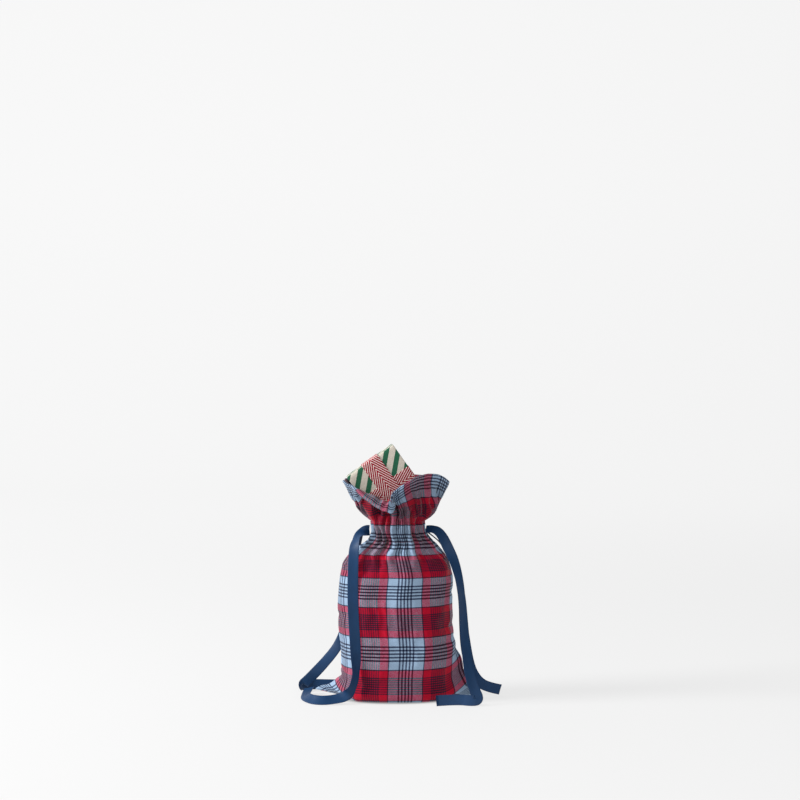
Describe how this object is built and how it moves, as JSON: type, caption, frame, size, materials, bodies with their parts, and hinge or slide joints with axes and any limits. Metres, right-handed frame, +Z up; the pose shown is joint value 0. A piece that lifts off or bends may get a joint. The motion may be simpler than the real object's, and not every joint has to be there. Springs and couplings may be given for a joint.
{
  "type": "fabric gift sack",
  "caption": "Gathered plaid flannel drawstring gift sack, standing, with ribbon drawstring tails, an open flared heading and wrapped gifts inside.",
  "frame": {"origin": "centre of the base of the sack, on the surface it stands on", "axes": "+Z up, front of the sack towards -Y, +X to the right seen from the front"},
  "size_m": [0.252, 0.139, 0.3056],
  "materials": {
    "flannel": "brushed twill, soft",
    "blue_ribbon": "ribbed woven ribbon, slight sheen",
    "sewing_thread": "matt thread",
    "gift_paper": "matt printed paper",
    "carton_board": "plain greyboard",
    "woven_band": "herringbone woven cotton band"
  },
  "bodies": {
    "sack": {"front_panel": "flannel", "back_panel": "flannel", "front_facing": "flannel", "back_facing": "flannel", "left_side_seam": "flannel", "right_side_seam": "flannel", "bottom_seam": "flannel", "upper_casing_stitching": "sewing_thread", "lower_casing_stitching": "sewing_thread", "left_drawstring_casing_loop": "blue_ribbon", "right_drawstring_casing_loop": "blue_ribbon", "lower_gift_carton_tray": "carton_board", "lower_gift_carton_lid": "carton_board", "lower_gift_wrapping_paper": "gift_paper", "lower_gift_ribbon_cross": "woven_band", "lower_gift_ribbon_long": "woven_band"},
    "left_drawstring": {"left_front_tail": "blue_ribbon", "left_back_tail": "blue_ribbon"},
    "right_drawstring": {"right_front_tail": "blue_ribbon", "right_back_tail": "blue_ribbon"},
    "upper_gift": {"upper_gift_carton_tray": "carton_board", "upper_gift_carton_lid": "carton_board", "upper_gift_wrapping_paper": "gift_paper", "upper_gift_ribbon_cross": "woven_band", "upper_gift_ribbon_long": "woven_band"}
  },
  "joints": [
    {"name": "left_drawstring_pull", "type": "slide", "parent": "sack", "child": "left_drawstring", "axis": [-1, 0, 0], "range_m": [0, 0.03]},
    {"name": "right_drawstring_pull", "type": "slide", "parent": "sack", "child": "right_drawstring", "axis": [1, 0, 0], "range_m": [0, 0.03]},
    {"name": "upper_gift_lift", "type": "slide", "parent": "sack", "child": "upper_gift", "axis": [-0.5736, 0, 0.8192], "range_m": [0, 0.11]}
  ]
}
